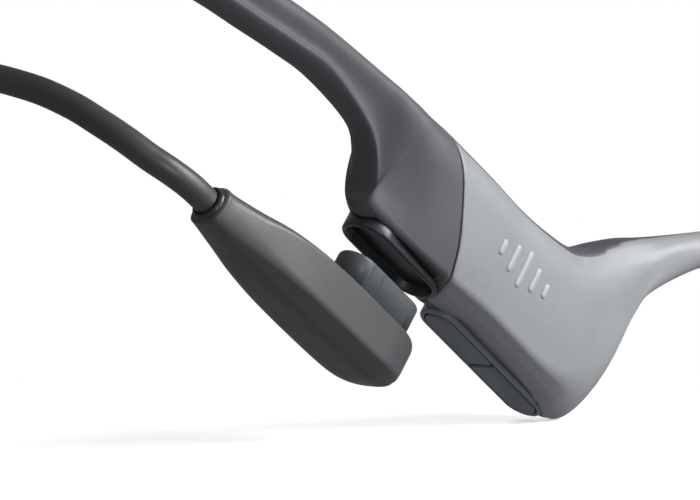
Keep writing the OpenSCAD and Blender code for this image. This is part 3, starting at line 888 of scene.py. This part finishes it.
def arc_outline(middle, radius, width, start, end, steps=14):
    """A bent bar round middle, from angle start to end, in degrees."""
    turns = [math.radians(start + (end - start) * i / steps) for i in range(steps + 1)]
    return [(middle[0] + reach * math.cos(t), middle[1] + reach * math.sin(t))
            for reach, order in ((radius + width / 2, turns), (radius - width / 2, turns[::-1]))
            for t in order]


def round_bar(middle, length, width, turn=0.0):
    """Outline of a bar with round ends, turned by an angle in degrees."""
    cos, sin = math.cos(math.radians(turn)), math.sin(math.radians(turn))
    return [(middle[0] + a * cos - b * sin, middle[1] + a * sin + b * cos)
            for a, b in stadium(length, width, 8)]


def with_steps(outline, longest):
    """The outline with points added, so that no gap is longer than longest."""
    made = []
    for i, (a, b) in enumerate(outline):
        after = outline[(i + 1) % len(outline)]
        count = math.ceil(math.hypot(after[0] - a, after[1] - b) / longest)
        made += [(a + (after[0] - a) * k / count, b + (after[1] - b) * k / count)
                 for k in range(count)]
    return made


def emblem(side):
    """A generic five-bar level meter printed on the outer cover, read along the housing."""
    cover = bpy.data.objects[prefix(side) + "outer_cover_skin"]
    tree = BVHTree.FromObject(cover, bpy.context.evaluated_depsgraph_get())

    def place(a, b):
        start = at_port(EMBLEM_S + a, 0, EMBLEM_D - b)
        start.x = side * CAST_X
        hit, normal, _, _ = tree.ray_cast(start * MM, -side * X_AXIS)
        return hit / MM, normal

    outlines = [with_steps(round_bar(((i - 2) * EMBLEM_PITCH, 0), length, EMBLEM_WIDTH, 90), EMBLEM_STEP)
                for i, length in enumerate(EMBLEM_BARS)]
    plate(prefix(side) + "emblem", outlines, place, MARK, "headset")


def key_mark(name, body, outlines):
    """Faint marks on the face of a volume key."""
    low, high = node_span(body + "_button")
    middle_x = (low.y + high.y) / 2
    plate(name, outlines, lambda a, b: (at_port(a, middle_x + b, high.z), OUT), FAINT_MARK, body,
          0.015)


for side in SIDES:
    emblem(side)
key_mark("minus_mark", "volume_down", [round_bar((MINUS_S, 0), 1.9, 0.24)])
key_mark("power_mark", "volume_up", [
    arc_outline((POWER_S, 0), 0.85, 0.2, 35, 325), round_bar((POWER_S + 0.75, 0), 0.95, 0.2),
    round_bar((LIGHTS_S, 0.5), 0.34, 0.3), round_bar((LIGHTS_S, -0.5), 0.34, 0.3)])

# ---- Pods ----

SKIN = Vector(mounts["left_skin_face"]["axis"]).normalized()
POD_OUT = -SKIN
# How far the skin pad's face stands in front of the pod's parting plane
PAD_PROUD = 5.5
POD_MIDDLE = Vector(mounts["left_skin_face"]["pos_m"]) / MM + PAD_PROUD * POD_OUT
POD_LEAN = math.radians(22)
POD_REAR = Z_AXIS.cross(POD_OUT)
POD_LONG = math.cos(POD_LEAN) * POD_REAR + math.sin(POD_LEAN) * Z_AXIS
POD_CROSS = POD_OUT.cross(POD_LONG)
POD_L, POD_W = 26.0, 16.0
POD_STEPS = 64
# Below 1, a pod's outline is fuller than an ellipse
SQUARE = 0.8
# The groove round the parting plane: the pod's share of size at its floor, and how far the floor
# and the groove's edges are from the plane
GROOVE_SHARE, GROOVE_IN, GROOVE_HALF = 0.985, 0.06, 0.16
# Profiles of the cover, frame and skin pad, as (share of the pod's size, out from the parting plane)
COVER_PROFILE = ((1, 0.0), (1.0, 1.3), (0.995, 2.6), (0.95, 3.9), (0.83, 4.7), (0.6, 5.0),
                 (0.3, 5.08), (0.02, 5.1))
FRAME_PROFILE = ((GROOVE_SHARE, -GROOVE_IN), (1, -GROOVE_HALF), (1, -1.4), (1, -2.4),
                 (0.985, -2.9), (0.955, -3.3), (0.9, -3.55), (0.84, -3.6))
PAD_PROFILE = ((0.8, -3.45), (0.83, -3.7), (0.845, -4.2), (0.825, -4.85), (0.77, -5.25),
               (0.69, -5.45), (0.5, -5.5), (0.25, -5.5), (0.02, -5.5))
# Profiles of the round key with its dished face and of the gauze, as (radius, out)
KEY_PROFILE = ((3.8, 3.1), (3.8, 3.5), (3.1, 3.5), (3.1, 4.95), (3.03, 5.15), (2.85, 5.25),
               (2.3, 5.22), (1.5, 5.1), (0.7, 5.02), (0.05, 5.0))
GAUZE_PROFILE = ((0.9, 4.1), (0.9, 4.38), (0.8, 4.45), (0.4, 4.42), (0.03, 4.4))
# Bores in the covers for the microphone on the left and the round key on the right
MIC_PLACE, MIC_BORE = (-8.6, -3.4), 0.95
KEY_BORE = 3.2
BORE_FROM, BORE_TO = 2.2, 8


def at_pod(a, b, out):
    """A point a along the pod, b across it and out from its parting plane."""
    return POD_MIDDLE + a * POD_LONG + b * POD_CROSS + out * POD_OUT


def bent(value):
    return math.copysign(abs(value) ** SQUARE, value)


def pod_loop(share, out):
    long, wide = share * POD_L / 2, share * POD_W / 2
    return [at_pod(long * bent(a), wide * bent(b), out) for a, b in circle(POD_STEPS)]


def lathe(profile, middle=(0, 0)):
    """A round shape on the pod's axis from (radius, out) pairs."""
    return loft([[at_pod(middle[0] + a, middle[1] + b, out) for a, b in circle(40, radius)]
                 for radius, out in profile])


def pod(side):
    """Outer cover, frame and silicone skin pad of one transducer pod."""
    rings = [pod_loop(GROOVE_SHARE, GROOVE_IN)]
    rings += [pod_loop(share, max(out, GROOVE_HALF)) for share, out in spline(COVER_PROFILE, 3)]
    cover = side_piece(side, "pod_skin", "pod_cover", loft(rings), POD_DARK)
    bore, place = (MIC_BORE, MIC_PLACE) if side > 0 else (KEY_BORE, (0, 0))
    weighted(cut(cover, sided(lathe([(bore, BORE_FROM), (bore, BORE_TO)], place), side)))
    weighted(side_piece(side, "pod_rim", "pod_frame", loft([pod_loop(*p) for p in FRAME_PROFILE]),
                        INNER_GREY))
    pad = side_piece(side, "pad_skin", "skin_pad", loft([pod_loop(*p) for p in spline(PAD_PROFILE, 3)]),
                     PAD)


for side in SIDES:
    pod(side)
weighted(piece("multifunction_pad", sided(lathe(KEY_PROFILE), -1), KEY_GREY, "multifunction",
               ["multifunction_button"]))
piece("microphone_gauze", lathe(GAUZE_PROFILE, MIC_PLACE), GAUZE, "headset",
      ["microphone_mesh"])

# ---- Charging plug ----

# How far the plug's edges come down and in from its outer face, as shares of its half width
PLUG_DROP, PLUG_IN = 0.37, 0.4
# Sections of the plug from tail to nose: s, half width, top, bottom, rounding of the outer edges
PLUG_SECTIONS = (
    (-21, 2.0, 6.75, 10.65, 1), (-20, 2.12, 6.7, 10.75, 1), (-17, 2.8, 6.35, 11.05, 0.8),
    (-14, 3.5, 6.0, 11.35, 0.5), (-10, 4.0, 5.83, 11.55, 0.3), (-5, 4.2, 5.8, 11.6, 0.22),
    (0, 4.2, 5.8, 11.55, 0.22), (2.2, 4.12, 5.8, 11.4, 0.24), (3.7, 3.75, 5.82, 11.1, 0.28),
    (4.9, 3.0, 5.95, 10.65, 0.4), (5.7, 2.1, 6.2, 10.1, 0.6), (6.15, 1.2, 6.6, 9.5, 0.8),
    (6.3, 0.3, 7.4, 8.6, 1),
)
# Loops that close the tail: how far each is taken in and moved back
BLUNT_TAIL = ((0.75, 0.32), (0.32, 0.28), (0.08, 0.12))
BOSS_ROUND = 0.35
PIN_PLAY = 0.09
# Places, half width and start of the fine joint lines on the boss's sides
JOINT_LINES = (-2.9, -1.4)
JOINT_HALF, JOINT_START = 0.05, 0.3


def plug_ring(s, half, top, bottom, crisp):
    """A section of the plug at s, with one rounding on its outer side and another elsewhere."""
    plain = 0.5 + crisp / 2
    drop, in_by = PLUG_DROP * half, PLUG_IN * half
    return rounded([(at_port(s, x, d), soft) for x, d, soft in (
        (half, top, crisp), (half, bottom - drop, crisp), (half - in_by, bottom, plain),
        (in_by - half, bottom, plain), (-half, bottom - drop, plain), (-half, top, plain))])


def plug_body():
    """Housing of the plug: a flat-sided body with a blunt round tail and a rounded nose."""
    rings = [plug_ring(*row) for row in spline(PLUG_SECTIONS, 4)]
    blunt = [shrunk(rings[0], amount, -back * ALONG) for amount, back in BLUNT_TAIL]
    weighted(piece("plug_skin", loft(blunt + rings), PLUG_DARK, "plug", ["plug_shell"]))


def tail_ring():
    """Dark collar where the cable enters the plug's tail."""
    low, high = node_span("plug_collar")
    profile = [(1.75, high.x + 0.1), (1.72, low.x + 0.45), (1.6, low.x + 0.2), (1.42, low.x + 0.1),
               (1.3, low.x + 0.25), (1.28, high.x)]
    axis_d = (low.z + high.z) / 2
    rings = [[at_port(s, a, axis_d + b) for a, b in circle(32, radius)] for radius, s in profile]
    weighted(piece("tail_ring", loft(rings), PORT_BLACK, "plug", ["plug_collar"]))


def boss():
    """Oval boss that enters the port, its two pin bores, and the fine joint lines on its side."""
    low, high = node_span("plug_boss")
    outline = stadium(high.x - low.x, high.y - low.y, 24)
    made = piece("boss_skin", loft(oval_rings((0, 0), outline, high.z, low.z, BOSS_ROUND)),
                 BOSS_GREY, "plug", ["plug_boss"])
    for name in ("plug_pin_a", "plug_pin_b"):
        first, last = node_span(name)
        middle, bore = ((first.x + last.x) / 2, 0), (last.x - first.x) / 2 + PIN_PLAY
        made = cut(made, loft([port_loop(circle(32, bore), d, middle) for d in (low.z - 1, low.z + 2)]))
        domed_pins(name + "_tip", name, [middle], name, -1)
    weighted(made)
    half, start = (high.y - low.y) / 2, low.z + JOINT_START
    lines = [[(s - JOINT_HALF, start), (s + JOINT_HALF, start), (s + JOINT_HALF, high.z),
              (s - JOINT_HALF, high.z)] for s in JOINT_LINES]
    for side in SIDES:
        plate("boss_joint_" + ("out" if side > 0 else "in"), lines,
              lambda s, d: (at_port(s, side * half, d), side * X_AXIS), GROOVE, "plug",
              0.012)


plug_body()
tail_ring()
boss()

# ---- Cable ----

CABLE_D = 2.5
COIL_MIDDLE = Vector((8, -46.5, 0))
COIL_OUTER, COIL_INNER = 15.0, 12.5
CABLE_LINE = [Vector(p) for p in (
    (63, -25.9, 23.8), (62.5, -27.7, 25.1), (61.4, -29.3, 26.4), (60, -30.6, 27.8), (58.2, -31.8, 29.2),
    (55.2, -33.4, 31.1), (51.6, -35.6, 32.7), (47.8, -38.6, 33.6), (44.6, -42.2, 33), (42, -46, 30.6),
    (39.8, -49.6, 26.6), (37.6, -52.8, 21.4), (35.4, -55.5, 15.8), (32.8, -57.8, 10.6),
    (29.6, -59.7, 6.2), (25.8, -61, 3.1), (21.4, -61.7, 1.6), (16.8, -61.8, 1.25), (12.4, -61.6, 1.25),
    (8, -61.5, 1.25))]
LEAD_LINE = [Vector(p) for p in (
    (8, -59, 6.25), (5, -59.1, 6.25), (2, -59.5, 6.1), (-1, -60.2, 5.5), (-4, -61, 4.7), (-7, -61.4, 4.1),
    (-10, -61.5, 4))]
# How far the cable runs on inside the plug's tail and inside the USB boot
INTO_PLUG, INTO_BOOT = 0.6, 0.8
# Each turn of the coil: radius and height at its start and end, and the share of a turn where
# it changes from the one to the other
TURNS = (
    (COIL_OUTER, 1.25, COIL_INNER, 1.25, 0.86), (COIL_INNER, 1.25, COIL_INNER, 3.75, 0.72),
    (COIL_INNER, 3.75, COIL_OUTER, 3.75, 0.58), (COIL_OUTER, 3.75, COIL_OUTER, 6.25, 0.44),
    (COIL_OUTER, 6.25, COIL_INNER, 6.25, 0.3),
)
TURN_STEPS = 24
# Share of a turn that a change of radius or height takes
CHANGE = 0.13
# Thickness of the strap, the bend over the coil's edge, and the bevel of the strap's edges
TIE_THICK, TIE_BEND = 0.7, 1.6
TIE_SIDE, TIE_DEEP = 0.15, 0.12


def coil_points():
    """The coil's turns, clockwise from above, from its point nearest the wearer's front."""
    made = []
    for number, (r0, z0, r1, z1, change) in enumerate(TURNS):
        for k in range(TURN_STEPS):
            share = k / TURN_STEPS
            if number == 0 and k == 0:
                continue
            t = smooth_step((share - change) / CHANGE)
            radius, height = r0 + (r1 - r0) * t, z0 + (z1 - z0) * t
            turn = -math.pi / 2 - 2 * math.pi * share
            made.append(COIL_MIDDLE + Vector((radius * math.cos(turn), radius * math.sin(turn), height)))
    return made


def cable():
    """The whole charging cable as one curve from plug to USB boot, with its start and length."""
    low, high = node_span("plug_collar")
    start = at_port(low.x, 0, (low.z + high.z) / 2)
    points = [start + INTO_PLUG * ALONG, start] + CABLE_LINE + coil_points() + LEAD_LINE
    points.append(LEAD_LINE[-1] - INTO_BOOT * X_AXIS)
    data = bpy.data.curves.new("cable", "CURVE")
    data.dimensions = "3D"
    data.resolution_u = 6
    data.bevel_depth = CABLE_D / 2 * MM
    data.bevel_resolution = 6
    data.use_fill_caps = True
    line = data.splines.new("BEZIER")
    line.bezier_points.add(len(points) - 1)
    for knot, point in zip(line.bezier_points, points):
        knot.co = point * MM
        knot.handle_left_type = knot.handle_right_type = "AUTO"
    data.materials.append(CABLE)
    made = added("cable", data)
    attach(made, "plug")
    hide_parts("cable_run", "cable_coil", "cable_end")
    return made, start, sum((b - a).length for a, b in zip(points, points[1:]))


def tie():
    """Hook-and-loop strap over the side of the coil nearest the headset."""
    low, high, middle = node_box("cable_tie")
    middle.z = 0
    half, tall, wide = (high.y - low.y) / 2, high.z, (high.x - low.x) / 2
    path = [(-half, 0.0), (-half, tall - TIE_BEND)]
    for i in range(1, 8):
        turn = math.radians(180 - 90 * i / 7)
        path.append((-half + TIE_BEND + TIE_BEND * math.cos(turn),
                     tall - TIE_BEND + TIE_BEND * math.sin(turn)))
    path += [(-b, c) for b, c in reversed(path)]
    edges = [(-wide, TIE_DEEP), (-wide + TIE_SIDE, 0), (wide - TIE_SIDE, 0), (wide, TIE_DEEP)]
    edges += [(x, TIE_THICK - t) for x, t in reversed(edges)]
    rings = []
    for i, (b, c) in enumerate(path):
        before, after = path[max(i - 1, 0)], path[min(i + 1, len(path) - 1)]
        run, rise = after[0] - before[0], after[1] - before[1]
        size = math.hypot(run, rise)
        rings.append([middle + Vector((x, b + rise / size * t, max(c - run / size * t, 0.0)))
                      for x, t in edges])
    return weighted(piece("tie_strap", loft(rings), STRAP, "plug", ["cable_tie"]))


# ---- USB plug ----

# The boot's ribs: number, place of the first, pitch, the first one's radius and its growth
RIBS, RIB_FIRST, RIB_PITCH = 4, 0.9, 1.05
RIB_RADIUS, RIB_GROWS = 1.95, 0.22
# A rib and the groove behind it, as (step towards the cable, change of radius)
RIB_SHAPE = ((0.3, 0), (0.1, -0.25), (-0.25, -0.25), (-0.45, 0.1))
# The grip's shoulder: where it starts, and its first loops as (step back, half width, half
# height, rounding)
SHOULDER = 5
SHOULDER_LOOPS = ((0.1, 3.4, 3.0, 1), (0.5, 5.4, 3.5, 0.9), (1.2, 6.9, 3.85, 0.6))
# The grip's loops near the metal shell, as (distance from its end, taken in)
GRIP_END = ((0.7, 0), (0.2, 0.15), (0, 0.6))
USB_WALL = 0.3
# The metal shell's windows: places across, half width, and their start and end behind its mouth
WINDOWS, WINDOW_HALF = (-2.9, 2.9), 1.1
WINDOW_FROM, WINDOW_TO = 5, 7.3


def usb_ring(middle, x, half_w, half_h, soft):
    """A rounded rectangle across the USB plug's axis."""
    reach = soft * min(half_w, half_h)
    loop = []
    for i, (b, c) in enumerate(((1, 1), (1, -1), (-1, -1), (-1, 1))):
        y, z = middle.y + b * (half_w - reach), middle.z + c * (half_h - reach)
        for k in range(9):
            turn = math.radians(90 - 90 * i) - math.radians(11.25 * k)
            loop.append(Vector((x, y + reach * math.cos(turn), z + reach * math.sin(turn))))
    return loop


def usb_grip():
    """Moulded grip with a ribbed boot."""
    low, high, middle = node_box("usb_overmould")
    half_w, half_h = (high.y - low.y) / 2, (high.z - low.z) / 2
    sizes = [(high.x, 1.5, 1.5, 1), (high.x - 0.15, 1.8, 1.8, 1)]
    for i in range(RIBS):
        x, radius = high.x - RIB_FIRST - RIB_PITCH * i, RIB_RADIUS + RIB_GROWS * i
        sizes += [(x + step, radius + more, radius + more, 1) for step, more in RIB_SHAPE]
    shoulder = high.x - SHOULDER
    sizes += [(shoulder - back, *size) for back, *size in SHOULDER_LOOPS]
    sizes += [(shoulder - back, half_w, half_h, soft) for back, soft in ((2.2, 0.45), (3.0, 0.4))]
    sizes += [(low.x + step, half_w - less, half_h - less, 0.4) for step, less in GRIP_END]
    return weighted(piece("usb_grip", loft([usb_ring(middle, *size) for size in sizes]), PLUG_DARK,
                          "plug", ["usb_overmould"]))


def usb_shell():
    """The metal shell, open at its mouth, with its two windows."""
    low, high, middle = node_box("usb_shell")
    rings = []
    half_w, half_h = (high.y - low.y) / 2, (high.z - low.z) / 2
    for x, less, soft in ((high.x, 0, 0.28), (low.x + 0.15, 0, 0.28), (low.x, 0.12, 0.26),
                          (low.x + 0.1, USB_WALL, 0.2), (high.x, USB_WALL, 0.2)):
        rings.append(usb_ring(middle, x, half_w - less, half_h - less, soft))
    points, faces = loft(rings, caps=False)
    count = len(rings[0])
    faces += [(i, (i + 1) % count, 4 * count + (i + 1) % count, 4 * count + i) for i in range(count)]
    shell = piece("usb_skin", (points, faces), PLATED, "plug", ["usb_shell"])
    start, end = low.x + WINDOW_FROM, low.x + WINDOW_TO
    for y in WINDOWS:
        left, right = middle.y + y - WINDOW_HALF, middle.y + y + WINDOW_HALF
        shell = cut(shell, loft([
            [Vector(p) for p in ((start, left, z), (end, left, z), (end, right, z), (start, right, z))]
            for z in (middle.z - 4, middle.z + 4)]))
    return weighted(shell)


def bevelled(node, material, width_mm):
    """A CAD node as it is, with its own material and softened edges."""
    made = nodes[node]
    made.data.materials.clear()
    made.data.materials.append(material)
    soft = made.modifiers.new("edges", "BEVEL")
    soft.width = width_mm * MM
    soft.segments = 2
    soft.limit_method = "ANGLE"
    return made


cord, cord_start, cord_length = cable()
tie()
usb_grip()
usb_shell()
bevelled("usb_tongue", USB_WHITE, 0.15)
bevelled("usb_contacts", GOLD, 0.04)

# ---- Inner pieces ----

for name, material, width in (
    ("hook_wire", STEEL, 0), ("voice_coil", COPPER, 0.05), ("magnet_unit", PLATED, 0.1),
    ("leaf_spring", STEEL, 0.03),
):
    for side in SIDES:
        bevelled(prefix(side) + name, material, width)
for name, material, width in (
    ("neckband_wire", STEEL, 0), ("main_board", BOARD, 0.05), ("battery_cell", FOIL, 0.3),
    ("port_magnets", PLATED, 0.1), ("button_switches", STEEL, 0.08), ("status_light", LENS, 0.08),
    ("multifunction_switch", STEEL, 0.05), ("microphone_capsule", GOLD, 0.08),
    ("plug_magnets", PLATED, 0.1),
):
    bevelled(name, material, width)

# ---- Staging, light and camera ----

LENS_MM, SENSOR_MM = 140.4, 36
AZIMUTH, ELEVATION = 46.0, 2.5
DISTANCE = 260.0
TARGET = Vector((56.76, -0.63, 17.32))
# The camera sees up to this far behind its target, so that the far side stays out of the picture
FAR_SIDE = 45.0
# What the lights look at: the middle of the left housing, and of the whole headset
HOUSING = Vector((62, 4, 20))
HEADSET = Vector((0, 0, 20))
# Strength of the room's light from below and from above
ROOM_BELOW, ROOM_ABOVE = 0.27, 0.21
FLOOR_R = 1500.0
FLOOR_GAP = 0.1
FLOOR_GLOW = 0.5
# Distances from the middle between which the floor fades to plain white
FLOOR_FADES = (90.0, 260.0)


def facing(data, place, way):
    """A camera or light at place, in millimetres, looking along way."""
    made = added(data.name, data)
    made.location = place * MM
    made.rotation_mode = "QUATERNION"
    made.rotation_quaternion = way.to_track_quat("-Z", "Y")
    return made


def camera():
    turn, rise = math.radians(AZIMUTH), math.radians(ELEVATION)
    back = Vector((math.sin(turn) * math.cos(rise), -math.cos(turn) * math.cos(rise), math.sin(rise)))
    data = bpy.data.cameras.new("camera")
    data.lens = LENS_MM
    data.sensor_width = SENSOR_MM
    data.clip_start = 0.01
    data.clip_end = (DISTANCE + FAR_SIDE) * MM
    bpy.context.scene.camera = facing(data, TARGET + DISTANCE * back, -back)


def floor():
    """A plain white floor under the headset, which takes shadows but throws no light back."""
    mesh = bpy.data.meshes.new("floor")
    mesh.from_pydata([(a, b, 0) for a, b in circle(64, FLOOR_R * MM)], [], [tuple(range(64))])
    made = added("floor", mesh)
    made.location.z = -FLOOR_GAP * MM
    paint = Shader("floor_white", 0.8, specular=0)
    paint.colour((0.8, 0.8, 0.81, 1))
    fill(paint.bsdf, {"Emission Color": (1, 1, 1, 1), "Emission Strength": FLOOR_GLOW})
    reach = paint.node("ShaderNodeVectorMath", operation="LENGTH")
    paint.link(paint.place, reach.inputs[0])
    white = paint.node("ShaderNodeEmission")
    mix = paint.node("ShaderNodeMixShader")
    fade = paint.between(reach.outputs["Value"], 0, 1, FLOOR_FADES[0] * MM, FLOOR_FADES[1] * MM)
    paint.link(fade, mix.inputs[0])
    paint.link(paint.bsdf.outputs["BSDF"], mix.inputs[1])
    paint.link(white.outputs["Emission"], mix.inputs[2])
    paint.link(mix.outputs["Shader"], paint.tree.nodes["Material Output"].inputs["Surface"])
    mesh.materials.append(paint.material)
    made.visible_diffuse = made.visible_glossy = False
    made.visible_transmission = made.visible_shadow = False


def softbox(name, place, aim, size, watts):
    """A square area light at place, in millimetres, that looks at aim."""
    data = bpy.data.lights.new(name, "AREA")
    data.size = size * MM
    data.energy = watts
    return facing(data, place, aim - place)


def lights():
    softbox("key_high", HOUSING + Vector((300, 260, 260)), HOUSING, 260, 2.9)
    softbox("rear_fill", HOUSING + Vector((400, 190, 50)), HOUSING, 200, 0.65)
    # This one shows no glint on the far edges of the port and the key bar
    back = softbox("back_fill", Vector((-380, 280, 260)), HEADSET, 260, 2.2)
    back.visible_glossy = False
    softbox("side_strip", HOUSING + Vector((420, -160, 20)), HOUSING, 90, 0.35)


def world():
    """White to the camera, and to the object a dim room that is a little brighter below."""
    made = bpy.data.worlds.new("studio")
    bpy.context.scene.world = made
    made.use_nodes = True
    tree = made.node_tree
    tree.nodes.clear()
    place, split, ramp, room, white, path, mix, out = (tree.nodes.new("ShaderNode" + kind) for kind in (
        "TexCoord", "SeparateXYZ", "MapRange", "Background", "Background", "LightPath", "MixShader",
        "OutputWorld"))
    fill(ramp, {"From Min": -0.8, "From Max": 0.8, "To Min": ROOM_BELOW, "To Max": ROOM_ABOVE})
    fill(room, {"Color": (0.95, 0.97, 1, 1)})
    fill(white, {"Color": (1, 1, 1, 1)})
    for start, end in (
        (place.outputs["Generated"], split.inputs["Vector"]), (split.outputs["Z"], ramp.inputs["Value"]),
        (ramp.outputs["Result"], room.inputs["Strength"]),
        (path.outputs["Is Camera Ray"], mix.inputs["Fac"]), (room.outputs["Background"], mix.inputs[1]),
        (white.outputs["Background"], mix.inputs[2]), (mix.outputs["Shader"], out.inputs["Surface"]),
    ):
        tree.links.new(start, end)


camera()
world()
lights()
floor()
bpy.context.scene.view_settings.view_transform = "Standard"
